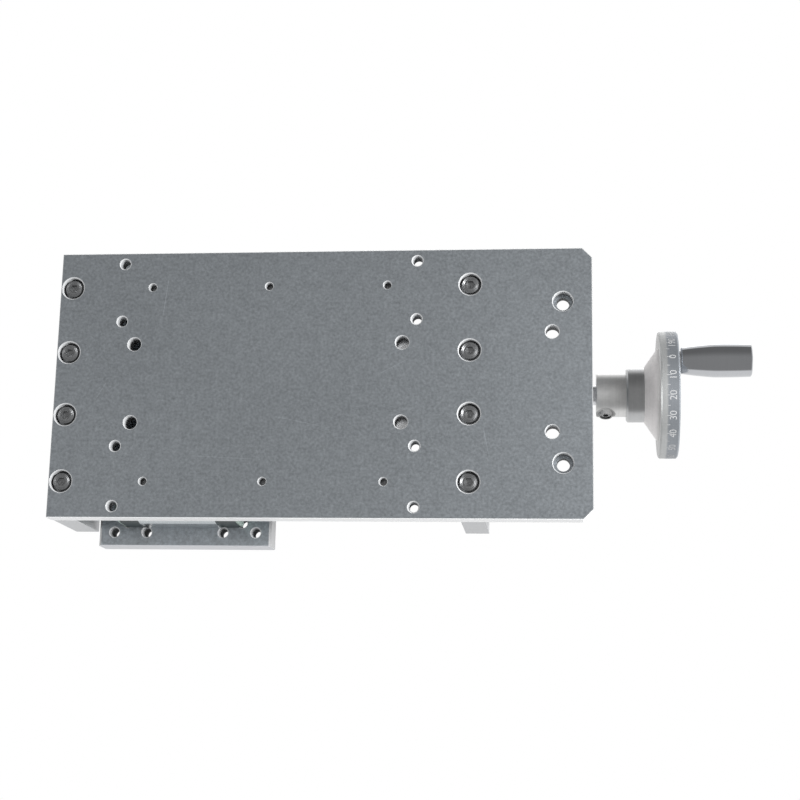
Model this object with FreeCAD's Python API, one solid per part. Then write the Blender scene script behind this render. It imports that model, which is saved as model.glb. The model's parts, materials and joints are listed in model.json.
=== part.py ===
"""Single-axis manual slide table: two profile rails on a base plate, a carriage-borne table,
a feed screw in bearings and a dished handwheel with a revolving handle.

Millimetres, +Z up, +X towards the handwheel. The origin lies on the underside of the base
plate, in the middle of the four corner fixing holes."""

import FreeCAD, Part
import math
import os

from FreeCAD import Vector

# Rails, which set the width of the base plate and of the table
rail_y = 50.0
rail_length = 190.0
rail_width = 15.0
rail_height = 15.0
rail_waist_depth = 1.6
rail_foot_height = 4.4
rail_head_height = 6.2
rail_head_chamfer = 0.8
rail_groove_r = 1.3
rail_hole_pitch = 60.0
rail_screw_count = 3
rail_screw_grip = 5.5
rail_bore_depth = 5.3
rail_tap_rim = 0.3
idle_rail_gap = 0.5
drive_rail_gap = 2.5

# End blocks
block_thickness = 12.0
block_setback = 0.5
block_below_table = 0.5
idle_bolt_inset = 5.9
drive_bolt_inset = 4.1
block_bolt_y_inner = 16.1

# Base plate
base_thickness = 10.0
base_side = 18.25
base_overhang = 52.5
corner_cut = 5.0
edge_break = 0.3

# Base plate holes
fixing_hole_x = 75.0
fixing_hole_outer_inset = 5.75
fixing_hole_y_inner = 32.2
fixing_hole_r = 2.6
fixing_rim = 0.5
dowel_hole_x = 68.0
dowel_hole_y = 20.2
dowel_hole_r = 3.4
dowel_rim = 0.35
blind_floor = 1.5
overhang_bolt_inset = 14.5
overhang_bolt_y = 40.7
overhang_bolt_r = 3.2
overhang_bolt_head_r = 5.0
overhang_bolt_head_depth = 5.5
overhang_hole_inset = 19.7
overhang_hole_y = 25.2
overhang_hole_r = 3.4

# Carriages
carriage_height = 28.0
carriage_gap = 4.3
carriage_width = 35.6
carriage_body_length = 39.4
carriage_cap_length = 10.0
carriage_cap_inset = 0.3
carriage_seal_thickness = 1.0
carriage_running_gap = 0.35
carriage_tap_edge = 4.8
carriage_tap_depth = 6.0
carriage_shoulder = 2.6
nipple_r = 2.6
nipple_length = 4.2

# Table plate
table_rest_gap = 4.1
table_length = 90.0
table_side = 27.0
table_thickness = 14.0
table_edge_break = 0.4
table_end_chamfer = 1.2
table_hole_r = 2.5
table_hole_rim = 0.45
table_hole_side = 7.0
table_inner_hole_side = 12.0
table_far_hole_end = 8.0
table_near_hole_end = 25.0
table_inner_hole_end = 15.0
table_bore_margin = 0.4

# Feed screw, nut and bracket
axis_below_table = 6.7
screw_r = 6.0
screw_nut_clearance = 0.05
journal_r = 5.0
idle_journal_r = 4.0
fit_gap = 0.02
nut_body_r = 9.5
nut_length = 34.0
nut_flange_r = 15.0
nut_flange_thickness = 4.5
nut_flange_flat = 11.5
nut_screw_circle_r = 12.2
nut_screw_angle = 22.0
bracket_length = 30.0
bracket_wall = 2.5
bracket_width = 33.0
bracket_drop = 13.0
bracket_screw_x = 9.0
bracket_screw_y = 12.6
bracket_chamfer = 1.5
small_tap_depth = 7.0
small_screw_grip = 6.0
end_screw_grip = 10.0
channel_clearance = 0.5

# Bearings
drive_bearing_r = 11.0
drive_bearing_width = 6.0
idle_bearing_r = 11.0
idle_bearing_width = 7.0
idle_bearing_recess = 0.5
bearing_ball_r = 1.6
ball_count = 9
ball_gap = 0.05
ring_share = 0.32
shaft_passage_gap = 2.0
cover_size = 30.0
cover_thickness = 4.5
cover_spigot = 2.0
cover_screw_offset = 11.2
cover_corner = 3.0
lock_nut_r = 8.5
lock_nut_thickness = 5.0
lock_nut_slots = 4
lock_nut_slot_width = 2.4
lock_nut_slot_depth = 1.2
circlip_thickness = 0.8
circlip_height = 1.5
journal_tail = 1.4
relief_r = 7.0
relief_depth = 3.2

# Clamp sleeve and handwheel
sleeve_gap = 2.0
sleeve_length = 15.0
sleeve_r = 11.0
sleeve_bump = 1.1
set_screw_inset = 4.7
set_screw_r = 2.5
set_screw_angle = 74.0
hub_r = 13.75
hub_length = 8.9
hub_edge = 0.8
cone_r = 24.0
cone_length = 7.0
rim_r = 32.0
rim_width = 9.4
rim_edge = 0.7
wheel_recess_r = 13.0
wheel_recess_depth = 7.0
key_width = 3.0
key_height = 3.2
key_length = 12.0
key_seat = 1.8
washer_r = 9.0
washer_thickness = 1.6

# Revolving handle
handle_circle_r = 22.9
handle_angle = -34.9
handle_gap = 1.1
handle_length = 34.3
handle_root_r = 6.6
handle_belly_r = 8.35
handle_end_r = 8.1
handle_belly_share = 0.47
handle_edge = 0.5
handle_recess_r = 5.7
handle_recess_depth = 4.4
spindle_r = 4.0
spindle_gap = 0.05
spindle_neck_r = 5.2
spindle_thread_r = 3.0
spindle_thread_length = 9.0
spindle_play = 0.2
spindle_head_setback = 1.4
spindle_socket_depth = 2.2

# Socket head screws: shank radius, head radius, head height, socket width across flats
M6 = (3.0, 5.0, 6.0, 5.0)
M5 = (2.5, 4.25, 5.0, 4.0)
M4 = (2.0, 3.5, 4.0, 3.0)
M3 = (1.5, 2.75, 3.0, 2.5)
head_gap = 0.5
shank_gap = 0.3
base_bore_depth = 6.5
block_thread_depth = 16.0
bore_floor = 0.5

# Levels and places that follow
base_width = 2 * (rail_y + base_side)
half_width = base_width / 2
fixing_hole_y_outer = half_width - fixing_hole_outer_inset
idle_block_x = -rail_length / 2 - idle_rail_gap - block_thickness
drive_block_x = rail_length / 2 + drive_rail_gap
base_left = idle_block_x - block_setback
base_right = drive_block_x + block_thickness + base_overhang
overhang_bolt_x = base_right - overhang_bolt_inset
overhang_hole_x = base_right - overhang_hole_inset
rail_top = base_thickness + rail_height
carriage_bottom = base_thickness + carriage_gap
carriage_tap_spacing = carriage_width - 2 * carriage_tap_edge
table_bottom = base_thickness + carriage_height
axis_height = table_bottom - axis_below_table
table_top = table_bottom + table_thickness
table_width = 2 * (rail_y + table_side)
idle_face = idle_block_x + block_thickness
table_left = idle_face + table_rest_gap
table_middle = table_left + table_length / 2
block_top = table_top - block_below_table
bracket_top = axis_height + nut_body_r + bracket_wall
bracket_left = table_middle - bracket_length / 2
bracket_right = table_middle + bracket_length / 2
drive_outer_face = drive_block_x + block_thickness
drive_bearing_x = drive_outer_face - cover_spigot - drive_bearing_width
idle_bearing_x = idle_face - idle_bearing_recess - idle_bearing_width
cover_bore_r = lock_nut_r + 0.5
sleeve_x = base_right + sleeve_gap
set_screw_x = sleeve_x + set_screw_inset
wheel_x = sleeve_x + sleeve_length
cone_x = wheel_x + hub_length
rim_x = cone_x + cone_length
wheel_front = rim_x + rim_width
recess_floor = wheel_front - wheel_recess_depth
handle_y = handle_circle_r * math.sin(math.radians(handle_angle))
handle_z = axis_height - handle_circle_r * math.cos(math.radians(handle_angle))
handle_x = wheel_front + handle_gap
sides = (-1, 1)


def box(x0, x1, y0, y1, z0, z1):
    return Part.makeBox(x1 - x0, y1 - y0, z1 - z0, Vector(x0, y0, z0))


def post(x, y, z0, z1, r):
    return Part.makeCylinder(r, z1 - z0, Vector(x, y, z0))


def rod(x0, x1, r, y=0.0, z=axis_height):
    return Part.makeCylinder(r, x1 - x0, Vector(x0, y, z), Vector(1, 0, 0))


def turned(outline, y=0.0, z=axis_height):
    """A solid turned about the X direction through (y, z) from (x, radius) points."""
    points = [Vector(x, y, z + r) for x, r in outline]
    face = Part.Face(Part.makePolygon(points + points[:1]))
    return face.revolve(Vector(0, y, z), Vector(1, 0, 0), 360)


def extruded_x(outline, x0, x1):
    """A closed (y, z) outline drawn out along X."""
    points = [Vector(x0, y, z) for y, z in outline]
    face = Part.Face(Part.makePolygon(points + points[:1]))
    return face.extrude(Vector(x1 - x0, 0, 0))


def cut_all(shape, tools):
    return shape.cut(Part.makeCompound(list(tools)))


def rimmed_hole(x, y, z0, z1, r, rim):
    """A hole from z0 up to z1 with a small countersink at z0."""
    cone = Part.makeCone(r + rim, r, rim, Vector(x, y, z0))
    return post(x, y, z0, z1, r).fuse(cone)


def through_hole(x, y, z0, z1, r, rim):
    """A hole countersunk at both faces."""
    top = Part.makeCone(r, r + rim, rim, Vector(x, y, z1 - rim))
    return rimmed_hole(x, y, z0, z1, r, rim).fuse(top)


def socket_screw(size, length):
    """A socket head screw with its head's outer face at z 0 and its shank along +Z."""
    shank_r, head_r, head_height, across_flats = size
    head = Part.makeCylinder(head_r, head_height)
    rim = [edge for edge in head.Edges if edge.Length < 7 * head_r and edge.BoundBox.ZMax < 1e-6]
    head = head.makeChamfer(0.3, rim)
    shank = Part.makeCylinder(shank_r - fit_gap, length, Vector(0, 0, head_height))
    corner = across_flats / math.sqrt(3)
    ring = [Vector(corner * math.cos(k * math.pi / 3), corner * math.sin(k * math.pi / 3), 0)
            for k in range(6)]
    socket = Part.Face(Part.makePolygon(ring + ring[:1])).extrude(Vector(0, 0, head_height / 2))
    return head.fuse(shank).removeSplitter().cut(socket)


def screw_up(size, length, x, y, z):
    """A screw driven upwards, its head's outer face at height z."""
    screw = socket_screw(size, length)
    screw.translate(Vector(x, y, z))
    return screw


def screw_down(size, length, x, y, z):
    """A screw driven downwards, its head's outer face at height z."""
    screw = socket_screw(size, length)
    screw.rotate(Vector(0, 0, 0), Vector(1, 0, 0), 180)
    screw.translate(Vector(x, y, z))
    return screw


def screw_along_x(size, length, x, y, z):
    """A screw driven towards -X, its head's outer face at x."""
    screw = socket_screw(size, length)
    screw.rotate(Vector(0, 0, 0), Vector(0, 1, 0), -90)
    screw.translate(Vector(x, y, z))
    return screw


def corners(half_x, half_y, middle_x=0.0):
    return [(middle_x + sx * half_x, sy * half_y) for sx in sides for sy in sides]


def block_bolts(x0, inset):
    """The places of the screws that hold the end block which starts at x0."""
    return [(x0 + inset, side * y) for y in (rail_y, block_bolt_y_inner) for side in sides]


def all_block_bolts():
    return block_bolts(idle_block_x, idle_bolt_inset) + block_bolts(drive_block_x,
                                                                    drive_bolt_inset)


def rail_bolts():
    """The places of the rail screws, evenly pitched about the middle of the rails."""
    first = -rail_hole_pitch * (rail_screw_count - 1) / 2
    return [(first + k * rail_hole_pitch, side * rail_y)
            for k in range(rail_screw_count) for side in sides]


def carriage_bolts():
    half = carriage_tap_spacing / 2
    return [(table_middle + sx * half, side * rail_y + sy * half)
            for side in sides for sx in sides for sy in sides]


def bracket_bolts():
    return corners(bracket_screw_x, bracket_screw_y, table_middle)


def make_base_plate():
    plate = box(base_left, base_right, -half_width, half_width, 0, base_thickness)
    right_corners = [edge for edge in plate.Edges
                     if edge.BoundBox.ZLength > 1 and edge.BoundBox.XMin > base_right - 1]
    plate = plate.makeChamfer(corner_cut, right_corners)
    rims = [edge for edge in plate.Edges if edge.BoundBox.ZLength < 1e-6]
    plate = plate.makeChamfer(edge_break, rims)
    cuts = []
    head_r = M6[1] + head_gap
    for x, y in all_block_bolts():
        cuts.append(rimmed_hole(x, y, 0, base_bore_depth, head_r, head_gap))
        cuts.append(post(x, y, 0, base_thickness, M6[0] + shank_gap))
    for x, y in rail_bolts():
        cuts.append(rimmed_hole(x, y, 0, base_thickness, M4[0], rail_tap_rim))
    for y in (fixing_hole_y_outer, fixing_hole_y_inner):
        for x, side_y in corners(fixing_hole_x, y):
            cuts.append(through_hole(x, side_y, 0, base_thickness, fixing_hole_r, fixing_rim))
    for x, y in corners(dowel_hole_x, dowel_hole_y):
        top = base_thickness if x < 0 else base_thickness - blind_floor
        cuts.append(rimmed_hole(x, y, 0, top, dowel_hole_r, dowel_rim))
    for side in sides:
        x, y = overhang_bolt_x, side * overhang_bolt_y
        cuts.append(rimmed_hole(x, y, 0, overhang_bolt_head_depth, overhang_bolt_head_r, dowel_rim))
        cuts.append(post(x, y, 0, base_thickness, overhang_bolt_r))
        cuts.append(through_hole(overhang_hole_x, side * overhang_hole_y, 0, base_thickness,
                                 overhang_hole_r, dowel_rim))
    return cut_all(plate, cuts)


def end_block(x0, bolt_inset):
    """A plain end block with the tapped holes of its screws."""
    block = box(x0, x0 + block_thickness, -half_width + edge_break, half_width - edge_break,
                base_thickness, block_top)
    rims = [edge for edge in block.Edges if edge.BoundBox.ZMin > base_thickness + 1e-6]
    block = block.makeChamfer(edge_break, rims)
    return cut_all(block, [post(x, y, base_thickness, base_thickness + block_thread_depth, M6[0])
                           for x, y in block_bolts(x0, bolt_inset)])


def make_idle_block():
    seat = rod(idle_bearing_x, idle_face, idle_bearing_r)
    relief = rod(idle_bearing_x - relief_depth, idle_bearing_x, relief_r)
    return cut_all(end_block(idle_block_x, idle_bolt_inset), [seat, relief])


def make_drive_block():
    seat = rod(drive_bearing_x, drive_outer_face, drive_bearing_r)
    passage = rod(drive_block_x, drive_outer_face, screw_r + shaft_passage_gap)
    tapped = [rod(drive_outer_face - M3[0] * 5, drive_outer_face, M3[0], sy * cover_screw_offset,
                  axis_height + sz * cover_screw_offset) for sy in sides for sz in sides]
    return cut_all(end_block(drive_block_x, drive_bolt_inset), [seat, passage] + tapped)


def make_block_screws():
    length = base_thickness - base_bore_depth + block_thread_depth - 2
    return Part.makeCompound([screw_up(M6, length, x, y, base_bore_depth - M6[2])
                              for x, y in all_block_bolts()])


def rail_half_outline(grow=0.0):
    """Half of the rail's section, as (distance from its middle, height) points, from foot to head.

    With grow, the same section moved outwards by a running gap."""
    half = rail_width / 2 + grow
    waist = half - rail_waist_depth
    foot = rail_foot_height
    head = rail_height - rail_head_height
    top = rail_height + grow
    chamfer = rail_head_chamfer
    return [(half, 0), (half, foot - grow), (waist, foot + rail_waist_depth - grow),
            (waist, head - rail_waist_depth + grow * 0.4), (half, head - grow * 0.4),
            (half, top - chamfer), (half - chamfer, top)]


def rail_outline(side, grow=0.0):
    right = [(side * rail_y + y, base_thickness + z) for y, z in rail_half_outline(grow)]
    left = [(side * rail_y - y, base_thickness + z) for y, z in reversed(rail_half_outline(grow))]
    return right + left


def make_rail(side):
    rail = extruded_x(rail_outline(side), -rail_length / 2, rail_length / 2)
    half = rail_width / 2
    groove_z = rail_top - rail_head_height / 2
    cuts = [rod(-rail_length / 2, rail_length / 2, rail_groove_r,
                side * rail_y + edge * (half + rail_groove_r * 0.6), groove_z) for edge in sides]
    for x, y in rail_bolts():
        if y * side > 0:
            cuts.append(post(x, y, rail_top - rail_bore_depth, rail_top, M4[1] + shank_gap))
            cuts.append(post(x, y, base_thickness, rail_top, M4[0] + shank_gap))
    return cut_all(rail, cuts)


def make_rail_screws():
    head_top = rail_top - rail_bore_depth + M4[2]
    length = rail_height - rail_bore_depth + rail_screw_grip
    return Part.makeCompound([screw_down(M4, length, x, y, head_top) for x, y in rail_bolts()])


def carriage_outline(side, inset):
    """The outside of a carriage, its sides stepped in below the shoulder."""
    half = carriage_width / 2 - inset
    step = carriage_shoulder * 0.6
    low = carriage_bottom + inset
    high = table_bottom - inset
    shoulder = low + (high - low) * 0.42
    right = [(half - step, low), (half, shoulder - step), (half, high - 1.2), (half - 1.2, high)]
    points = right + [(-y, z) for y, z in reversed(right)]
    return [(side * rail_y + y, z) for y, z in points]


def carriage_section(side, x0, x1, inset, gap):
    outside = extruded_x(carriage_outline(side, inset), x0, x1)
    inside = extruded_x(rail_outline(side, gap), x0 - 1, x1 + 1)
    return outside.cut(inside)


def make_carriage_body(side):
    half = carriage_body_length / 2
    body = carriage_section(side, table_middle - half, table_middle + half, 0.0,
                            carriage_running_gap)
    taps = [post(x, y, table_bottom - carriage_tap_depth, table_bottom, M4[0])
            for x, y in carriage_bolts() if y * side > 0]
    return cut_all(body, taps)


def carriage_ends(side, offset, length, inset, gap):
    """A pair of like pieces at the two ends of a carriage."""
    near = table_middle + carriage_body_length / 2 + offset
    far = table_middle - carriage_body_length / 2 - offset
    return Part.makeCompound([carriage_section(side, near, near + length, inset, gap),
                              carriage_section(side, far - length, far, inset, gap)])


def make_carriage_caps(side):
    return carriage_ends(side, 0.0, carriage_cap_length, carriage_cap_inset,
                         carriage_running_gap + 0.1)


def make_carriage_seals(side):
    return carriage_ends(side, carriage_cap_length, carriage_seal_thickness,
                         carriage_cap_inset * 2, carriage_running_gap)


def make_grease_nipples():
    """A nipple on the idle end of each carriage, above the rail."""
    face = table_middle - carriage_body_length / 2 - carriage_cap_length - carriage_seal_thickness
    middle = (rail_top + table_bottom) / 2 + 0.6
    shape = [(0, 0), (0, 1.0), (0.33, 1.0), (0.33, 0.58), (0.62, 0.5), (0.76, 0.65), (1.0, 0.35),
             (1.0, 0)]
    outline = [(face - x * nipple_length, r * nipple_r) for x, r in shape]
    return Part.makeCompound([turned(outline, side * rail_y, middle) for side in sides])


def make_table_plate():
    right = table_left + table_length
    half = table_width / 2
    plate = box(table_left, right, -half, half, table_bottom, table_top)
    ends = [edge for edge in plate.Edges
            if edge.BoundBox.XLength < 1e-6 and edge.BoundBox.ZLength < 1e-6]
    plate = plate.makeChamfer(table_end_chamfer, ends)
    sides_of_plate = [edge for edge in plate.Edges
                      if edge.BoundBox.XLength > table_length - 3 * table_end_chamfer]
    plate = plate.makeChamfer(table_edge_break, sides_of_plate)
    channel_half = bracket_width / 2 + channel_clearance
    cuts = [box(table_left, right, -channel_half, channel_half, table_bottom - 1, bracket_top)]
    holes = []
    for end, side in ((table_far_hole_end, table_hole_side), (table_near_hole_end, table_hole_side),
                      (table_inner_hole_end, table_inner_hole_side)):
        holes += corners(table_length / 2 - end, half - side)
    for x, y in holes:
        cuts.append(through_hole(table_middle + x, y, table_bottom, table_top, table_hole_r,
                                 table_hole_rim))
    for x, y in carriage_bolts() + bracket_bolts():
        cuts.append(post(x, y, table_top - M4[2] - table_bore_margin, table_top,
                         M4[1] + table_bore_margin))
        cuts.append(post(x, y, table_bottom, table_top, M4[0] + shank_gap))
    return cut_all(plate, cuts)


def make_carriage_screws():
    length = table_thickness - M4[2] - table_bore_margin + carriage_tap_depth - 1
    return Part.makeCompound([screw_down(M4, length, x, y, table_top - table_bore_margin)
                              for x, y in carriage_bolts()])


def flange_screw_places():
    angles = [math.radians(a) for a in (nut_screw_angle, -nut_screw_angle,
                                        180 - nut_screw_angle, 180 + nut_screw_angle)]
    return [(nut_screw_circle_r * math.cos(a), axis_height + nut_screw_circle_r * math.sin(a))
            for a in angles]


def make_nut_bracket():
    half = bracket_width / 2
    block = box(bracket_left, bracket_right, -half, half, axis_height - bracket_drop, bracket_top)
    lower = [edge for edge in block.Edges if edge.BoundBox.ZMax < axis_height]
    block = block.makeChamfer(bracket_chamfer, lower)
    cuts = [rod(bracket_left, bracket_right, nut_body_r + fit_gap)]
    for x, y in bracket_bolts():
        cuts.append(post(x, y, bracket_top - carriage_tap_depth, bracket_top, M4[0]))
    for y, z in flange_screw_places():
        cuts.append(rod(bracket_right - small_tap_depth, bracket_right, M3[0], y, z))
    return cut_all(block, cuts)


def make_bracket_screws():
    length = table_top - table_bore_margin - M4[2] - bracket_top + carriage_tap_depth - 1
    return Part.makeCompound([screw_down(M4, length, x, y, table_top - table_bore_margin)
                              for x, y in bracket_bolts()])


def make_feed_nut():
    body = rod(bracket_right - nut_length + nut_flange_thickness, bracket_right, nut_body_r)
    flange = rod(bracket_right, bracket_right + nut_flange_thickness, nut_flange_r)
    keep = box(bracket_right - 1, bracket_right + nut_flange_thickness + 1, -nut_flange_r - 1,
               nut_flange_r + 1, axis_height - nut_flange_flat, axis_height + nut_flange_flat)
    nut = body.fuse(flange.common(keep)).removeSplitter()
    cuts = [rod(bracket_right - nut_length, bracket_right + nut_flange_thickness + 1,
                screw_r + screw_nut_clearance)]
    for y, z in flange_screw_places():
        cuts.append(rod(bracket_right, bracket_right + nut_flange_thickness, M3[0] + shank_gap,
                        y, z))
    return cut_all(nut, cuts)


def make_nut_screws():
    head_face = bracket_right + nut_flange_thickness + M3[2]
    length = nut_flange_thickness + small_screw_grip
    return Part.makeCompound([screw_along_x(M3, length, head_face, y, z)
                              for y, z in flange_screw_places()])


def bearing(x, width, bore_r, outer_r):
    """The outer ring, inner ring and balls of a deep groove bearing that starts at x."""
    wall = (outer_r - bore_r) * ring_share
    inner_top = bore_r + wall
    outer_bottom = outer_r - wall
    pitch_r = (inner_top + outer_bottom) / 2
    middle = x + width / 2
    ball_r = max(bearing_ball_r, (outer_bottom - inner_top) / 2 + 0.3)
    race = Part.makeTorus(pitch_r, ball_r + ball_gap, Vector(middle, 0, axis_height),
                          Vector(1, 0, 0))
    outer = rod(x, x + width, outer_r - fit_gap).cut(rod(x, x + width, outer_bottom)).cut(race)
    inner = rod(x, x + width, inner_top).cut(rod(x, x + width, bore_r + fit_gap)).cut(race)
    balls = []
    for k in range(ball_count):
        turn = 2 * math.pi * k / ball_count
        centre = Vector(middle, pitch_r * math.cos(turn), axis_height + pitch_r * math.sin(turn))
        balls.append(Part.makeSphere(ball_r, centre))
    return outer, inner, Part.makeCompound(balls)


def make_bearing_cover():
    half = cover_size / 2
    plate = box(drive_outer_face, drive_outer_face + cover_thickness, -half, half,
                axis_height - half, axis_height + half)
    uprights = [edge for edge in plate.Edges if edge.BoundBox.XLength > 1]
    plate = plate.makeFillet(cover_corner, uprights)
    spigot = rod(drive_outer_face - cover_spigot, drive_outer_face, drive_bearing_r - fit_gap)
    cover = plate.fuse(spigot).removeSplitter()
    cuts = [rod(drive_outer_face - cover_spigot, drive_outer_face + cover_thickness, cover_bore_r)]
    for sy in sides:
        for sz in sides:
            cuts.append(rod(drive_outer_face, drive_outer_face + cover_thickness,
                            M3[0] + shank_gap, sy * cover_screw_offset,
                            axis_height + sz * cover_screw_offset))
    return cut_all(cover, cuts)


def make_cover_screws():
    head_face = drive_outer_face + cover_thickness + M3[2]
    length = cover_thickness + small_screw_grip
    return Part.makeCompound([screw_along_x(M3, length, head_face, sy * cover_screw_offset,
                                            axis_height + sz * cover_screw_offset)
                              for sy in sides for sz in sides])


def make_feed_screw():
    """The screw with its two journals, the right-hand one running on into the handwheel."""
    idle_end = idle_bearing_x - circlip_thickness - journal_tail
    shoulder = idle_bearing_x + idle_bearing_width
    chamfer = 0.8
    screw = turned([(idle_end, 0), (idle_end, idle_journal_r - chamfer / 2),
                    (idle_end + chamfer / 2, idle_journal_r), (shoulder, idle_journal_r),
                    (shoulder, screw_r - chamfer), (shoulder + chamfer, screw_r),
                    (drive_bearing_x, screw_r), (drive_bearing_x, journal_r),
                    (recess_floor - chamfer / 2, journal_r),
                    (recess_floor, journal_r - chamfer / 2), (recess_floor, 0)])
    groove = rod(idle_bearing_x - circlip_thickness, idle_bearing_x, idle_journal_r + 1)
    groove = groove.cut(rod(idle_bearing_x - circlip_thickness, idle_bearing_x,
                            idle_journal_r - circlip_height / 3))
    seat_z = axis_height + journal_r - key_seat
    key_slot = box(key_x(), key_x() + key_length, -key_width / 2, key_width / 2, seat_z,
                   seat_z + key_height)
    end_tap = rod(recess_floor - end_screw_grip - M5[0], recess_floor, M5[0])
    return cut_all(screw, [groove, key_slot, end_tap])


def key_x():
    return wheel_x + hub_edge


def make_wheel_key():
    seat_z = axis_height + journal_r - key_seat
    return box(key_x() + fit_gap, key_x() + key_length - fit_gap, -key_width / 2 + fit_gap,
               key_width / 2 - fit_gap, seat_z + fit_gap, seat_z + key_height - fit_gap)


def make_circlip():
    x0 = idle_bearing_x - circlip_thickness + fit_gap
    inner = idle_journal_r - circlip_height / 3 + fit_gap
    ring = rod(x0, idle_bearing_x - fit_gap, inner + circlip_height)
    gap = box(x0 - 1, idle_bearing_x + 1, -0.8, 0.8, axis_height,
              axis_height + inner + circlip_height + 1)
    return ring.cut(rod(x0 - 1, idle_bearing_x + 1, inner)).cut(gap)


def make_lock_nut():
    x0 = drive_bearing_x + drive_bearing_width
    x1 = x0 + lock_nut_thickness
    nut = rod(x0, x1, lock_nut_r)
    edges = [edge for edge in nut.Edges if edge.BoundBox.XMin > x0 + 1 and edge.Length > 1]
    nut = nut.makeChamfer(0.5, [edge for edge in edges if edge.BoundBox.XLength < 1e-6])
    cuts = [rod(x0, x1, journal_r + fit_gap)]
    for k in range(lock_nut_slots):
        slot = box(x0, x1, -lock_nut_slot_width / 2, lock_nut_slot_width / 2,
                   axis_height + lock_nut_r - lock_nut_slot_depth, axis_height + lock_nut_r + 1)
        slot.rotate(Vector(x0, 0, axis_height), Vector(1, 0, 0), 45 + 360.0 * k / lock_nut_slots)
        cuts.append(slot)
    return cut_all(nut, cuts)


def radial(shape, x):
    """Turns a shape built along -Z from the shaft's axis towards the set screw's side."""
    shape.translate(Vector(x, 0, axis_height))
    shape.rotate(Vector(x, 0, axis_height), Vector(1, 0, 0), set_screw_angle)
    return shape


def make_wheel_sleeve():
    sleeve = turned([(sleeve_x, 0), (sleeve_x, sleeve_r - edge_break),
                     (sleeve_x + edge_break, sleeve_r), (wheel_x, sleeve_r), (wheel_x, 0)])
    reach = sleeve_r + sleeve_bump
    bump = Part.makeCone(set_screw_r * 1.9, set_screw_r * 1.3, reach - sleeve_r * 0.8,
                         Vector(0, 0, -sleeve_r * 0.8), Vector(0, 0, -1))
    sleeve = sleeve.fuse(radial(bump, set_screw_x)).removeSplitter()
    tap = Part.makeCylinder(set_screw_r, reach + 1, Vector(0, 0, 0), Vector(0, 0, -1))
    return cut_all(sleeve, [rod(sleeve_x, wheel_x, journal_r + fit_gap),
                            radial(tap, set_screw_x)])


def make_set_screw():
    """The set screw, bearing on the shaft and ending just below the top of its boss."""
    start = journal_r + fit_gap
    length = sleeve_r + sleeve_bump - 0.5 - start
    screw = Part.makeCylinder(set_screw_r - fit_gap, length, Vector(0, 0, -start),
                              Vector(0, 0, -1))
    corner = set_screw_r / math.sqrt(3)
    ring = [Vector(corner * math.cos(k * math.pi / 3), corner * math.sin(k * math.pi / 3),
                   -start - length) for k in range(6)]
    socket = Part.Face(Part.makePolygon(ring + ring[:1])).extrude(Vector(0, 0, 2.5))
    return radial(screw.cut(socket), set_screw_x)


def make_handwheel():
    """Hub, cone and rim turned in one piece, with a recess for the end screw at the front."""
    wheel = turned([(wheel_x, 0), (wheel_x, hub_r - hub_edge), (wheel_x + hub_edge, hub_r),
                    (cone_x, hub_r), (rim_x, cone_r), (rim_x, rim_r - rim_edge),
                    (rim_x + rim_edge, rim_r), (wheel_front - rim_edge, rim_r),
                    (wheel_front, rim_r - rim_edge), (wheel_front, wheel_recess_r + rim_edge),
                    (wheel_front - rim_edge, wheel_recess_r), (recess_floor, wheel_recess_r),
                    (recess_floor, 0)])
    top = axis_height + journal_r - key_seat + key_height
    keyway = box(wheel_x, key_x() + key_length, -key_width / 2, key_width / 2, axis_height, top)
    tap = rod(wheel_front - spindle_thread_length, wheel_front, spindle_thread_r, handle_y,
              handle_z)
    return cut_all(wheel, [rod(wheel_x, recess_floor, journal_r + fit_gap), keyway, tap])


def make_wheel_washer():
    washer = rod(recess_floor, recess_floor + washer_thickness, washer_r)
    return washer.cut(rod(recess_floor, recess_floor + washer_thickness, M5[0] + shank_gap))


def make_end_screw():
    head_face = recess_floor + washer_thickness + M5[2]
    return screw_along_x(M5, washer_thickness + end_screw_grip, head_face, 0, axis_height)


def make_handle_spindle():
    """A shoulder screw: thread in the wheel, neck, bearing length, head in the grip's end."""
    head_x = handle_x + handle_length - handle_recess_depth + spindle_play
    head_end = head_x + handle_recess_depth - spindle_head_setback
    spindle = turned([(wheel_front - spindle_thread_length, 0),
                      (wheel_front - spindle_thread_length, spindle_thread_r - fit_gap),
                      (wheel_front, spindle_thread_r - fit_gap), (wheel_front, spindle_neck_r),
                      (handle_x - spindle_play, spindle_neck_r),
                      (handle_x - spindle_play, spindle_r),
                      (head_x, spindle_r), (head_x, spindle_r + 1), (head_end, spindle_r + 1),
                      (head_end, 0)], handle_y, handle_z)
    corner = spindle_r / math.sqrt(3)
    ring = [Vector(head_end - spindle_socket_depth, handle_y + corner * math.cos(k * math.pi / 3),
                   handle_z + corner * math.sin(k * math.pi / 3)) for k in range(6)]
    socket = Part.Face(Part.makePolygon(ring + ring[:1])).extrude(Vector(4, 0, 0))
    return spindle.cut(socket)


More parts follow.
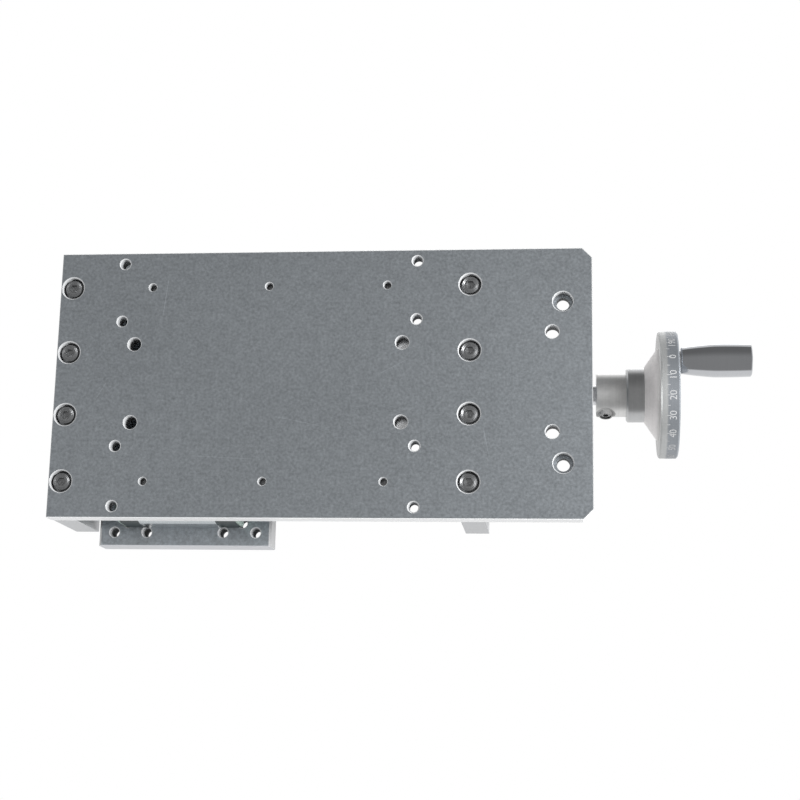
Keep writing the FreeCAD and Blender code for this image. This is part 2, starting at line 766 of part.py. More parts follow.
def make_handle_grip():
    """The revolving grip: a cone that swells to a belly and eases back to a square end."""
    end_x = handle_x + handle_length
    belly_x = handle_x + handle_length * handle_belly_share
    bore_r = spindle_r + spindle_gap
    recess_x = end_x - handle_recess_depth

    def point(x, r):
        return Vector(x, handle_y, handle_z + r)

    root = point(handle_x + handle_edge, handle_root_r)
    flare = point((handle_x + belly_x) / 2, (handle_root_r + handle_belly_r) / 2 + 0.12)
    belly = point(belly_x, handle_belly_r)
    ease = point((belly_x + end_x) / 2, (handle_belly_r + handle_end_r) / 2 + 0.12)
    end = point(end_x - handle_edge, handle_end_r)
    inside = [end, point(end_x, handle_end_r - handle_edge), point(end_x, handle_recess_r),
              point(recess_x, handle_recess_r), point(recess_x, bore_r), point(handle_x, bore_r),
              point(handle_x, handle_root_r - handle_edge), root]
    edges = [Part.Arc(root, flare, belly).toShape(), Part.Arc(belly, ease, end).toShape()]
    edges += [Part.makeLine(a, b) for a, b in zip(inside, inside[1:])]
    face = Part.Face(Part.Wire(Part.__sortEdges__(edges)))
    return face.revolve(Vector(0, handle_y, handle_z), Vector(1, 0, 0), 360)


def build_parts():
    drive_outer, drive_inner, drive_balls = bearing(drive_bearing_x, drive_bearing_width,
                                                    journal_r, drive_bearing_r)
    idle_outer, idle_inner, idle_balls = bearing(idle_bearing_x, idle_bearing_width,
                                                 idle_journal_r, idle_bearing_r)
    return {
        "base_plate": make_base_plate(),
        "end_block_idle": make_idle_block(),
        "end_block_drive": make_drive_block(),
        "end_block_screws": make_block_screws(),
        "rail_front": make_rail(-1),
        "rail_rear": make_rail(1),
        "rail_screws": make_rail_screws(),
        "carriage_body_front": make_carriage_body(-1),
        "carriage_body_rear": make_carriage_body(1),
        "carriage_caps_front": make_carriage_caps(-1),
        "carriage_caps_rear": make_carriage_caps(1),
        "carriage_seals_front": make_carriage_seals(-1),
        "carriage_seals_rear": make_carriage_seals(1),
        "grease_nipples": make_grease_nipples(),
        "table_plate": make_table_plate(),
        "carriage_screws": make_carriage_screws(),
        "nut_bracket": make_nut_bracket(),
        "nut_bracket_screws": make_bracket_screws(),
        "feed_nut": make_feed_nut(),
        "feed_nut_screws": make_nut_screws(),
        "feed_screw": make_feed_screw(),
        "drive_bearing_outer": drive_outer,
        "drive_bearing_inner": drive_inner,
        "drive_bearing_balls": drive_balls,
        "idle_bearing_outer": idle_outer,
        "idle_bearing_inner": idle_inner,
        "idle_bearing_balls": idle_balls,
        "bearing_lock_nut": make_lock_nut(),
        "journal_circlip": make_circlip(),
        "bearing_cover": make_bearing_cover(),
        "bearing_cover_screws": make_cover_screws(),
        "wheel_sleeve": make_wheel_sleeve(),
        "sleeve_set_screw": make_set_screw(),
        "wheel_key": make_wheel_key(),
        "handwheel": make_handwheel(),
        "wheel_washer": make_wheel_washer(),
        "wheel_end_screw": make_end_screw(),
        "handle_spindle": make_handle_spindle(),
        "handle_grip": make_handle_grip(),
    }


def main():
    os.makedirs("parts", exist_ok=True)
    for name, shape in build_parts().items():
        if not shape.isValid() or not shape.Solids:
            raise RuntimeError(name + " is not a valid solid")
        shape.exportStep("parts/" + name + ".step")
        print(name, len(shape.Solids), round(shape.Volume, 1))


main()
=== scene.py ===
"""Looks for the manual slide table: finishes, screw thread, dial, small screws, light and camera.

Metres, in the frame of the solids: +X towards the handwheel, +Z up, origin on the underside of
the base plate."""

import bpy
import json
import math
from mathutils import Matrix, Vector


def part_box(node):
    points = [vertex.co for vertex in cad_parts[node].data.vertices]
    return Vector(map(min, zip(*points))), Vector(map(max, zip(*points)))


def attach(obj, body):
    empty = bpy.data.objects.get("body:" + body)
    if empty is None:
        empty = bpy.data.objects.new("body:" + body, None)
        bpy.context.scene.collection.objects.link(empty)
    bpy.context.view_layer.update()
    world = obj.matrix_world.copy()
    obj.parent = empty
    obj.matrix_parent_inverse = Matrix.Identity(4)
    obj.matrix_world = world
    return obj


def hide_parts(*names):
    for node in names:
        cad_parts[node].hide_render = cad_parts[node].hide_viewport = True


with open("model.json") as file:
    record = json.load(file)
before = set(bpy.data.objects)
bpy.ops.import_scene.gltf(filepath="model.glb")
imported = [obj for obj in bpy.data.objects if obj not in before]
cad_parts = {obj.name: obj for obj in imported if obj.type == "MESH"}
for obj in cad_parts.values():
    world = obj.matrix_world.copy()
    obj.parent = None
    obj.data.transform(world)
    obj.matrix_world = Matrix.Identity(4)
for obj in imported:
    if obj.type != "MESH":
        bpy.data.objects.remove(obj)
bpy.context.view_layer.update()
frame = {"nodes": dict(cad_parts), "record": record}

mm = 0.001

# Camera, as the photograph was taken

picture_px = 800
camera_focal_px = 1631.9
camera_place = Vector((149.58, 187.85, -780.02)) * mm
camera_aim = Vector((67.48, 9.18, 0.0)) * mm
camera_roll = math.radians(1.141)
sensor_width = 36.0
camera_near = 0.05
camera_far = 50.0

# Light: a room that is white overhead and dim below, a floor seen from above, and three lamps

room_up = (0.0, 0.09, 1.0)
room_dim_below = -0.06
room_white_above = 0.19
room_dim_level = 0.34
room_far_dim_level = 0.2
room_far_y = -0.9
room_near_y = -0.1
floor_size = 30.0
floor_drop = 0.4 * mm
floor_grey = 0.86
lamps = (
    {"name": "key", "place": (0.2, -0.8, 1.1), "aim": (0, 0, 0), "size": 0.8, "power": 2.0},
    {"name": "low", "place": (1.09, 0.03, -0.69), "aim": (0.03, 0, 0), "size": 0.5, "power": 23.0},
    {"name": "fill", "place": (-1.2, 0.12, -0.32), "aim": (0.03, 0, 0), "size": 0.4, "power": 7.0},
)

# Places and sizes taken from the solids

base_low, base_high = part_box("base_plate")
table_low, table_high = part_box("table_plate")
wheel_low, wheel_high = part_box("handwheel")
screw_low, screw_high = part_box("feed_screw")
axis_z = (wheel_low.z + wheel_high.z) / 2
rim_r = (wheel_high.z - wheel_low.z) / 2
wheel_front = wheel_high.x
thread_r = (screw_high.z - screw_low.z) / 2

# Plates: no plate lies between gap_low and gap_high. The field of a plate is where its holes
# are, and walls outside the field are the plate's outer edges.

gap_low = 14.0 * mm
gap_high = 34.0 * mm
base_field_middle = 24.0 * mm
base_field_half_x = 131.0 * mm
base_field_half_y = 66.5 * mm
table_field_middle = (table_low.x + table_high.x) / 2
table_field_half_x = 43.0 * mm
table_field_half_y = 75.0 * mm
table_bore_start = table_low.z + 2.0 * mm
# Painted shade in the bores: their walls keep their pale colour down to the first of these depths
# below the mouth, then darken to 0.3 of it by the second.
bore_painted_shade_start = 1.6 * mm
bore_painted_shade_end = 6.0 * mm
blind_floor_z = base_high.z - 1.5 * mm

# Sleeve and wheel, in the order in which they stand on the screw

set_screw_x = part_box("wheel_sleeve")[0].x + 4.7 * mm
set_screw_turn = math.radians(74.0)
set_screw_tap_r = 2.6 * mm
set_screw_boss_r = 4.7 * mm
set_screw_reach = 5.0 * mm
hub_x = wheel_low.x
cone_x = hub_x + 8.9 * mm
rim_x = cone_x + 7.0 * mm

# Feed screw: a rolled thread with a flat crest and a round groove, between two plain necks

thread_lead = 4.0 * mm
thread_depth = 0.95 * mm
thread_crest_share = 0.36
thread_steps = 40
thread_profile_steps = 12
thread_relief = 2.5 * mm
journal_r = 5.0 * mm
idle_journal_r = 4.0 * mm
screw_chamfer = 0.8 * mm
screw_segments = 64
screw_point_r = 0.0005 * mm

# Recessed socket head screws of the end blocks

block_screw_face = 1.2 * mm
block_screw_seat = 6.5 * mm
block_screw_head_r = 5.0 * mm
block_screw_shank_r = 2.95 * mm
block_screw_point_r = 0.001 * mm
block_screw_segments = 48
socket_r = 4.0 * mm / math.sqrt(3)
socket_depth = 2.2 * mm
socket_point_depth = 0.5 * mm
socket_point_share = 0.001
socket_floor_share = 0.9
idle_screw_inset = 5.9 * mm
drive_screw_inset = 4.1 * mm
block_screw_rows = (50.0 * mm, 16.1 * mm)

# Threads of the tapped holes: a ridge's depth is a share of its pitch

ridge_steps = 24
ridge_depth = 0.34
ridge_foot_share = 0.04
ridge_runout_per_turn = 1.5
hole_pitch = 1.0 * mm
hole_rim = 0.5 * mm
rail_tap_x = (-60.0 * mm, 0.0, 60.0 * mm)
rail_tap_y = (-50.0 * mm, 50.0 * mm)
rail_tap_r = 2.0 * mm
rail_tap_pitch = 0.7 * mm
rail_tap_depth = 4.3 * mm

# Dial on the rim

dial_marks = 40
dial_parts_per_mark = 5
dial_zero_angle = math.radians(-23.2)
dial_edge_x = wheel_front - 6.0 * mm
dial_tick_x = wheel_front - 6.4 * mm
dial_short = 1.5 * mm
dial_long = 2.3 * mm
dial_tick_width = 0.28 * mm
dial_number_x = wheel_front - 3.3 * mm
dial_number_height = 3.6 * mm
font_size_per_height = 1.38
surface_lift = 0.02 * mm


# Node trees

class Tree:
    """A small helper that adds nodes to a material or world and links them."""

    def __init__(self, tree):
        self.tree = tree
        self.tree.nodes.clear()

    def add(self, kind, settings=None, **inputs):
        node = self.tree.nodes.new(kind)
        for name, value in (settings or {}).items():
            setattr(node, name, value)
        for name, value in inputs.items():
            self.put(node, name.replace("_", " "), value)
        return node

    def put(self, node, name, value):
        """Sets an input, given by its name or number, to a value, or links a socket to it."""
        socket = node.inputs[int(name)] if name.isdigit() else node.inputs[name]
        if isinstance(value, bpy.types.NodeSocket):
            self.tree.links.new(value, socket)
        else:
            socket.default_value = value

    def math(self, operation, a, b=0.0):
        node = self.add("ShaderNodeMath", {"operation": operation})
        self.put(node, "0", a)
        self.put(node, "1", b)
        return node.outputs[0]

    def ramp(self, value, low, high, to_low=0.0, to_high=1.0):
        """Goes smoothly from to_low, where value is low, to to_high, where it is high."""
        node = self.add("ShaderNodeMapRange", {"interpolation_type": "SMOOTHSTEP"})
        for name, number in (("Value", value), ("From Min", low), ("From Max", high),
                             ("To Min", to_low), ("To Max", to_high)):
            self.put(node, name, number)
        return node.outputs["Result"]

    def mix(self, share, a, b):
        node = self.add("ShaderNodeMix", {"data_type": "RGBA"})
        self.put(node, "0", share)
        self.put(node, "6", a)
        self.put(node, "7", b)
        return node.outputs[2]

    def blend_number(self, share, a, b):
        node = self.add("ShaderNodeMix", {"data_type": "FLOAT"})
        self.put(node, "0", share)
        self.put(node, "2", a)
        self.put(node, "3", b)
        return node.outputs[0]

    def noise(self, place, scale, detail=2.0, rough=0.5):
        node = self.add("ShaderNodeTexNoise", Scale=scale, Detail=detail, Roughness=rough)
        self.put(node, "Vector", place)
        return node.outputs["Fac"]

    def weighed(self, middle, *parts):
        """middle plus each noise's swing about its mean, times its weight."""
        total = middle
        for value, weight in parts:
            swing = self.math("MULTIPLY", self.math("SUBTRACT", value, 0.5), weight)
            total = self.math("ADD", swing, total)
        return total

    def scaled(self, colour, level):
        node = self.add("ShaderNodeVectorMath", {"operation": "SCALE"})
        self.put(node, "0", colour)
        self.put(node, "Scale", level)
        return node.outputs[0]

    def split(self, vector):
        """The X, Y and Z of a vector, as outputs found by those names."""
        return self.add("ShaderNodeSeparateXYZ", Vector=vector).outputs

    def place(self):
        return self.add("ShaderNodeTexCoord").outputs["Object"]

    def normal(self):
        return self.add("ShaderNodeTexCoord").outputs["Normal"]

    def stretched(self, place, scale):
        node = self.add("ShaderNodeMapping", Scale=scale)
        self.put(node, "Vector", place)
        return node.outputs["Vector"]

    def seen_from(self, place, middle, rotation):
        """X, Y and Z of place in a frame that stands at middle with this rotation."""
        node = self.add("ShaderNodeMapping", {"vector_type": "TEXTURE"})
        self.put(node, "Vector", place)
        self.put(node, "Location", middle)
        self.put(node, "Rotation", rotation)
        return self.split(node.outputs["Vector"])

    def bump(self, strength, distance, height):
        node = self.add("ShaderNodeBump", Strength=strength, Distance=distance, Height=height)
        return node.outputs[0]

    def surface(self, **inputs):
        """Ends a material with a principled shader that has these inputs."""
        self.show(self.add("ShaderNodeBsdfPrincipled", **inputs))

    def show(self, shader):
        out = self.add("ShaderNodeOutputMaterial")
        self.tree.links.new(shader.outputs[0], out.inputs["Surface"])


def grey(level, warm=0.0):
    return (level * (1 + warm), level, level * (1 - warm), 1.0)


def new_material(name):
    material = bpy.data.materials.new(name)
    material.use_nodes = True
    return material, Tree(material.node_tree)


# Finishes

def scratch_mask(tree, place):
    """Thin straight scratches on the base plate, worked out from strokes in millimetres."""
    total = None
    for x, y, degrees, length, width in (
            (-53.0, -45.0, 96.0, 26.0, 0.32),
            (18.0, 20.0, 12.0, 34.0, 0.2),
            (64.0, -8.0, -28.0, 22.0, 0.2),
            (-20.0, 38.0, 3.0, 40.0, 0.18),
            (110.0, 30.0, 78.0, 18.0, 0.2),
            (-84.0, 4.0, -60.0, 14.0, 0.2)):
        away = tree.seen_from(place, (x * mm, y * mm, 0), (0, 0, math.radians(degrees)))
        along = tree.math("ABSOLUTE", away["X"])
        across = tree.math("ABSOLUTE", away["Y"])
        near_line = tree.ramp(across, width * mm * 0.3, width * mm, 1.0, 0.0)
        near_middle = tree.ramp(along, length * mm * 0.25, length * mm * 0.5, 1.0, 0.0)
        stroke = tree.math("MULTIPLY", near_line, near_middle)
        total = stroke if total is None else tree.math("MAXIMUM", total, stroke)
    return total


def outer_mask(tree, axes, on_table):
    """1 outside the field of a plate's holes, 0 in it."""
    middle = tree.blend_number(on_table, base_field_middle, table_field_middle)
    half_x = tree.blend_number(on_table, base_field_half_x, table_field_half_x)
    half_y = tree.blend_number(on_table, base_field_half_y, table_field_half_y)
    from_middle = tree.math("ABSOLUTE", tree.math("SUBTRACT", axes["X"], middle))
    out_x = tree.math("SUBTRACT", from_middle, half_x)
    out_y = tree.math("SUBTRACT", tree.math("ABSOLUTE", axes["Y"]), half_y)
    return tree.ramp(tree.math("MAXIMUM", out_x, out_y), 0.0, 0.5 * mm)


def blasted_aluminium():
    """Fine blasted, clear anodised plates: speckled grey faces; painted light on the long outer
    edges, the blind holes' floors and the table's underside; painted shade down the bores.
    """
    face_colour = (0.432, 0.465, 0.494)
    bore_colour = (0.61, 0.62, 0.63)
    # Painted light: the long outer edges of the base and table plates are painted pale; the end
    # walls keep a plain darker grey.
    base_long_edge_painted_light = grey(0.98, -0.01)
    table_long_edge_painted_light = (0.66, 0.67, 0.70, 1.0)
    end_edge = grey(0.4, -0.01)
    # Painted light: the floors of the blind holes are painted pale.
    blind_floor_painted_light = grey(0.93, -0.01)
    material, tree = new_material("blasted_aluminium")
    place = tree.place()
    axes = tree.split(place)
    normal = tree.split(tree.normal())
    on_table = tree.ramp(axes["Z"], gap_low, gap_high)
    on_top = tree.ramp(axes["Z"], 44.0 * mm, 50.0 * mm)
    # Painted light: the lower part of the table plate, between the plates, is painted 16% lighter.
    table_underside_painted_light = tree.math("MULTIPLY", on_table, tree.math("SUBTRACT", 1.0, on_top))
    wall = tree.ramp(tree.math("ABSOLUTE", normal["Z"]), 0.75, 0.97, 1.0, 0.0)
    flat = tree.ramp(wall, 0.0, 1.0, 1.0, 0.0)
    long_side = tree.ramp(tree.math("ABSOLUTE", normal["Y"]), 0.5, 0.65)
    outer = outer_mask(tree, axes, on_table)
    inner_wall = tree.math("MULTIPLY", wall, tree.math("SUBTRACT", 1.0, outer))
    # Mask of the blind holes' floors, which are painted lighter and smoother than the plate.
    above_floor = tree.ramp(axes["Z"], blind_floor_z - 0.9 * mm, blind_floor_z - 0.3 * mm)
    below_face = tree.ramp(axes["Z"], blind_floor_z + 0.5 * mm, blind_floor_z + 1.0 * mm, 1.0, 0.0)
    floor = tree.math("MULTIPLY", tree.math("MULTIPLY", above_floor, below_face), flat)

    fine = tree.noise(place, 1900.0, 3.0, 0.6)
    grain = tree.noise(place, 700.0, 2.0, 0.5)
    mottle = tree.noise(place, 190.0, 2.0, 0.5)
    cloud = tree.noise(place, 11.0, 3.0, 0.55)
    speck = tree.ramp(tree.noise(place, 850.0, 1.0), 0.68, 0.78)
    level = tree.weighed(1.0, (fine, 0.5), (grain, 0.7), (mottle, 0.3), (cloud, 0.2))
    level = tree.math("ADD", level, tree.math("MULTIPLY", speck, 0.12))
    level = tree.math("ADD", level, tree.math("MULTIPLY", scratch_mask(tree, place), 0.3))
    # Painted light on the table plate's underside.
    level = tree.math("MULTIPLY", level, tree.blend_number(table_underside_painted_light, 1.0, 1.16))

    # Painted shade in the bores: the wall colour darkens with depth below the mouth.
    depth = tree.math("SUBTRACT", axes["Z"], tree.blend_number(on_table, 0.0, table_bore_start))
    bore_painted_shade_level = tree.ramp(depth, bore_painted_shade_start, bore_painted_shade_end, 1.0, 0.3)
    # Painted light on the long outer edges, a plain darker grey on the end walls.
    edge = tree.mix(long_side, end_edge, tree.mix(on_table, base_long_edge_painted_light, table_long_edge_painted_light))
    wall_colour = tree.mix(outer, tree.scaled(bore_colour, bore_painted_shade_level), edge)
    colour = tree.mix(wall, tree.scaled(face_colour, level), wall_colour)
    rough = tree.blend_number(floor, tree.weighed(0.40, (grain, 0.08)), 0.24)
    tree.surface(
        Base_Color=tree.mix(floor, colour, blind_floor_painted_light),
        Metallic=tree.blend_number(wall, 0.95, tree.math("MULTIPLY", outer, 0.15)),
        Specular_IOR_Level=0.15,
        Roughness=tree.blend_number(inner_wall, rough, 0.7),
        Normal=tree.bump(0.3, 0.03 * mm, fine))
    return material


def brushed_metal(name, colour, rough, stretch, amount=0.12, metallic=1.0, spread=0.12):
    """Metal with fine tool marks: noise drawn out along one direction."""
    material, tree = new_material(name)
    place = tree.place()
    marks = tree.noise(tree.stretched(place, stretch), 60.0, 4.0, 0.6)
    cloud = tree.ramp(tree.noise(place, 25.0, 2.0, 0.5), 0.2, 0.8, 0.97, 1.03)
    level = tree.math("MULTIPLY", tree.weighed(1.0, (marks, amount)), cloud)
    tree.surface(
        Base_Color=tree.scaled(colour, level),
        Metallic=metallic,
        Roughness=tree.weighed(rough, (marks, spread)),
        Normal=tree.bump(0.15, 0.02 * mm, marks))
    return material


def moulded_plastic(name, colour, rough):
    """Plastic or rubber with a fine moulded grain."""
    material, tree = new_material(name)
    place = tree.place()
    texture = tree.noise(place, 2200.0, 2.0, 0.5)
    shade = tree.ramp(tree.noise(place, 60.0, 2.0), 0.3, 0.7, 0.92, 1.08)
    tree.surface(
        Base_Color=tree.scaled(colour, shade),
        Roughness=rough,
        Normal=tree.bump(0.2, 0.03 * mm, texture))
    return material


def black_oxide():
    """Blackened steel, a little brighter along its sharp edges."""
    material, tree = new_material("black_oxide_steel")
    edges = tree.ramp(tree.add("ShaderNodeNewGeometry").outputs["Pointiness"], 0.52, 0.62)
    grain = tree.noise(tree.place(), 900.0, 3.0, 0.6)
    dark = tree.mix(grain, grey(0.2, -0.02), grey(0.36, -0.02))
    colour = tree.mix(tree.math("MULTIPLY", edges, 0.2), dark, grey(0.6))
    tree.surface(Base_Color=colour, Metallic=0.9, Roughness=0.36)
    return material


def set_screw_masks(tree, place):
    """Two masks for painted shade: the tapped hole of the set screw, and the boss round it."""
    away = tree.seen_from(place, (set_screw_x, 0.0, axis_z), (set_screw_turn, 0.0, 0.0))
    squares = [tree.math("MULTIPLY", away[axis], away[axis]) for axis in ("X", "Y")]
    distance = tree.math("POWER", tree.math("ADD", *squares), 0.5)
    on_side = tree.ramp(away["Z"], -set_screw_reach - 1.0 * mm, -set_screw_reach, 1.0, 0.0)
    in_tap = tree.ramp(distance, set_screw_tap_r, set_screw_tap_r + 0.3 * mm, 1.0, 0.0)
    on_boss = tree.ramp(distance, set_screw_boss_r, set_screw_boss_r + 0.5 * mm, 1.0, 0.0)
    return tree.math("MULTIPLY", in_tap, on_side), tree.math("MULTIPLY", on_boss, on_side)


def turned_aluminium():
    """Satin turned aluminium of the sleeve and wheel. Each zone has its own tone, painted light
    and shade on what is one turned piece.
    """
    material, tree = new_material("satin_aluminium")
    place = tree.place()
    x_here = tree.split(place)["X"]
    colour = (0.68, 0.68, 0.675, 1.0)
    rough = 0.42
    metallic = 1.0
    # Each zone below gets its own painted tone, standing in for light and shade on the one turned
    # piece.
    for x, blend, zone_colour, zone_rough, zone_metallic in (
            (hub_x, 0.05 * mm, (0.49, 0.495, 0.5, 1.0), 0.32, 1.0),
            (cone_x, 0.05 * mm, (0.95, 0.92, 0.915, 1.0), 0.5, 0.12),
            (rim_x - 0.9 * mm, 0.85 * mm, (0.64, 0.63, 0.625, 1.0), 0.5, 0.2),
            (rim_x, 0.05 * mm, (0.47, 0.48, 0.48, 1.0), 0.45, 0.6),
            (dial_edge_x, 0.6 * mm, (0.29, 0.31, 0.335, 1.0), 0.45, 0.6)):
        beyond = tree.ramp(x_here, x - blend, x + blend)
        colour = tree.mix(beyond, colour, zone_colour)
        rough = tree.blend_number(beyond, rough, zone_rough)
        metallic = tree.blend_number(beyond, metallic, zone_metallic)
    marks = tree.noise(tree.stretched(place, (22.0, 0.5, 0.5)), 60.0, 4.0, 0.6)
    cloud = tree.noise(place, 120.0, 3.0, 0.6)
    spots = tree.noise(place, 700.0, 2.0, 0.5)
    tap, boss = set_screw_masks(tree, place)
    level = tree.weighed(1.0, (marks, 0.22), (cloud, 0.16), (spots, 0.14))
    # Painted shade: the set screw's hole is darkened to a fifth, and the boss round it to 0.7.
    level = tree.math("MULTIPLY", level, tree.blend_number(tap, 1.0, 0.2))
    level = tree.math("MULTIPLY", level, tree.blend_number(boss, 1.0, 0.7))
    tree.surface(
        Base_Color=tree.scaled(colour, level),
        Metallic=tree.blend_number(boss, metallic, 0.2),
        Roughness=tree.weighed(tree.blend_number(boss, rough, 0.75), (marks, 0.1)),
        Normal=tree.bump(0.2, 0.02 * mm, marks))
    return material


def painted_mark():
    """The pale filling of the engraved dial."""
    material, tree = new_material("dial_filling")
    texture = tree.noise(tree.place(), 900.0, 2.0, 0.5)
    tree.surface(Base_Color=tree.mix(texture, grey(0.44, -0.01), grey(0.58, -0.01)), Roughness=0.6)
    return material


def make_materials():
    """Every finish, by the name of its slot."""
    along_x = (0.15, 6.0, 6.0)
    across_y = (8.0, 0.4, 8.0)
    turned = (14.0, 0.6, 0.6)
    materials = {
        "blasted_aluminium": blasted_aluminium(),
        "satin_aluminium": turned_aluminium(),
        "black_oxide_steel": black_oxide(),
        "dial_filling": painted_mark(),
        # Painted light and shade on the carriage ends: the caps' near-black teal is painted shade,
        # and the seals' pale green is painted light.
        "cap_plastic": moulded_plastic("cap_plastic", (0.02, 0.034, 0.038), 0.45),
        "seal_rubber": moulded_plastic("seal_rubber", (0.42, 0.52, 0.47), 0.55),
    }
    for name, colour, rough, stretch, others in (
            ("clear_anodised", (0.53, 0.54, 0.555), 0.42, across_y,
             {"amount": 0.08, "metallic": 0.4}),
            ("zinc_steel", (0.62, 0.63, 0.64), 0.3, (3.0, 3.0, 3.0), {}),
            ("ground_steel", (0.58, 0.6, 0.62), 0.24, along_x, {"amount": 0.16}),
            ("carriage_steel", (0.56, 0.6, 0.62), 0.26, along_x, {"amount": 0.18}),
            ("brass", (0.72, 0.55, 0.25), 0.3, turned, {}),
            ("bronze", (0.6, 0.42, 0.22), 0.34, turned, {}),
            ("bearing_steel", (0.62, 0.63, 0.645), 0.2, turned, {}),
            ("polished_steel", (0.52, 0.53, 0.55), 0.1, turned, {"amount": 0.06, "spread": 0.05}),
            # The cut threads' darker grey is painted shade inside the tapped holes.
            ("cut_thread", (0.36, 0.37, 0.38), 0.55, (4.0, 4.0, 4.0),
             {"amount": 0.1, "metallic": 0.1})):
        materials[name] = brushed_metal(name, colour, rough, stretch, **others)
    return materials


def dress_nodes(materials):
    """Gives each solid the finish that the record names for it."""
    slots = {part["node"]: part["material_slot"] for part in frame["record"]["subparts"]}
    for name, node in frame["nodes"].items():
        node.data.materials.clear()
        node.data.materials.append(materials[slots[name]])


# Pieces

def mesh_piece(name, points, faces, material, body, smooth_angle=30.0):
    """A visible piece that rides on body. Edges sharper than smooth_angle stay sharp."""
    mesh = bpy.data.meshes.new(name)
    mesh.from_pydata([tuple(p) for p in points], [], faces)
    mesh.validate()
    mesh.polygons.foreach_set("use_smooth", [True] * len(mesh.polygons))
    mesh.set_sharp_from_angle(angle=math.radians(smooth_angle))
    mesh.materials.append(material)
    piece = bpy.data.objects.new(name, mesh)
    bpy.context.scene.collection.objects.link(piece)
    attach(piece, body)
    return piece


def ring_turns(segments):
    """The angles of a ring's points."""
    return [2 * math.pi * k / segments for k in range(segments)]


def ring_faces(start, rings, segments, flip=False):
    """Quads between successive closed rings of points."""
    faces = []
    for i in range(rings - 1):
        for k in range(segments):
            a = start + i * segments + k
            b = start + i * segments + (k + 1) % segments
            quad = (a, b, b + segments, a + segments)
            faces.append(quad[::-1] if flip else quad)
    return faces


def rings_on_screw(outline):
    """Points of the rings about the feed screw's axis, one ring for each x and radius."""
    return [(x, r * math.cos(turn), axis_z + r * math.sin(turn))
            for x, r in outline for turn in ring_turns(screw_segments)]


def groove_depth(share):
    """Depth of the thread at a share of the lead: none on the crest, then a round groove."""
    if share < thread_crest_share:
        return 0.0
    part = (share - thread_crest_share) / (1 - thread_crest_share)
    return thread_depth * math.sqrt(max(0.0, 1 - (2 * part - 1) ** 2))


def thread_strip(x0, x1):
    """Points and faces of the thread from x0 to x1: its profile, wound round the axis."""
    steps = int(((x1 - x0) / thread_lead + 1) * thread_steps)
    points = []
    for i in range(steps + 1):
        turn = i / thread_steps
        angle = 2 * math.pi * turn
        for k in range(thread_profile_steps + 1):
            share = k / thread_profile_steps
            x = x0 + (turn - 1 + share) * thread_lead
            runout = min(1.0, max(0.0, (x - x0) / thread_lead), max(0.0, (x1 - x) / thread_lead))
            r = thread_r - groove_depth(share) * runout
            points.append((min(max(x, x0), x1), r * math.sin(angle), axis_z + r * math.cos(angle)))
    width = thread_profile_steps + 1
    faces = []
    for i in range(steps):
        for k in range(thread_profile_steps):
            a = i * width + k
            faces.append((a, a + width, a + width + 1, a + 1))
    return points, faces


def make_feed_screw(materials):
    """The screw with its rolled thread, in place of the plain cylinder of the solids."""
    drive_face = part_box("drive_bearing_inner")[0].x
    idle_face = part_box("idle_bearing_inner")[1].x
    x0 = idle_face + thread_relief
    x1 = drive_face - thread_relief
    half_chamfer = screw_chamfer / 2
    left = [(screw_low.x, screw_point_r), (screw_low.x, idle_journal_r - half_chamfer),
            (screw_low.x + half_chamfer, idle_journal_r), (idle_face, idle_journal_r),
            (idle_face, thread_r - screw_chamfer), (idle_face + screw_chamfer, thread_r),
            (x0, thread_r)]
    right = [(x1, thread_r), (drive_face, thread_r), (drive_face, journal_r),
             (screw_high.x - half_chamfer, journal_r), (screw_high.x, journal_r - half_chamfer),
             (screw_high.x, screw_point_r)]
    points, faces = thread_strip(x0, x1)
    for outline in (left, right):
        faces += ring_faces(len(points), len(outline), screw_segments, flip=True)
        points += rings_on_screw(outline)
    screw = mesh_piece("threaded_feed_screw", points, faces, materials["bearing_steel"],
                       "feed_screw", smooth_angle=40.0)
    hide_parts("feed_screw")


def block_screw_places():
    """X and Y of the eight screws, four in each end block."""
    idle_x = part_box("end_block_idle")[0].x + idle_screw_inset
    drive_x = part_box("end_block_drive")[0].x + drive_screw_inset
    return [(x, side * y) for x in (idle_x, drive_x) for y in block_screw_rows for side in (-1, 1)]


def hexagon(turn):
    """Radius, in direction turn, of a hexagon whose corners are 1 from its middle."""
    side = math.pi / 3
    return math.cos(side / 2) / math.cos(turn % side - side / 2)


def make_block_screws(materials):
    """The recessed socket head screws: hexagon socket, ringed face, and a groove at its edge."""
    face = block_screw_face
    floor = face + socket_depth
    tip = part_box("end_block_screws")[1].z
    turns = ring_turns(block_screw_segments)
    socket = [(socket_point_share, floor + socket_point_depth), (socket_floor_share, floor),
              (1.0, floor), (1.0, face)]
    ringed_face = [(2.75 * mm, face), (3.1 * mm, face + 0.14 * mm), (3.4 * mm, face),
                   (3.75 * mm, face + 0.12 * mm), (4.0 * mm, face)]
    edge_groove = [(4.2 * mm, face + 0.05 * mm), (4.3 * mm, face + 0.3 * mm),
                   (4.35 * mm, face + 1.7 * mm), (block_screw_head_r, face + 2.0 * mm)]
    shank = [(block_screw_head_r, block_screw_seat), (block_screw_shank_r, block_screw_seat),
             (block_screw_shank_r, tip), (block_screw_point_r, tip)]
    rings = [[(socket_r * share * hexagon(turn), turn, z) for turn in turns]
             for share, z in socket]
    rings += [[(r, turn, z) for turn in turns] for r, z in ringed_face + edge_groove + shank]
    points = []
    faces = []
    for x, y in block_screw_places():
        faces += ring_faces(len(points), len(rings), block_screw_segments)
        points += [(x + r * math.cos(turn), y + r * math.sin(turn), z)
                   for ring in rings for r, turn, z in ring]
    screws = mesh_piece("recessed_socket_screws", points, faces, materials["black_oxide_steel"],
                        "base", smooth_angle=35.0)
    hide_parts("end_block_screws")


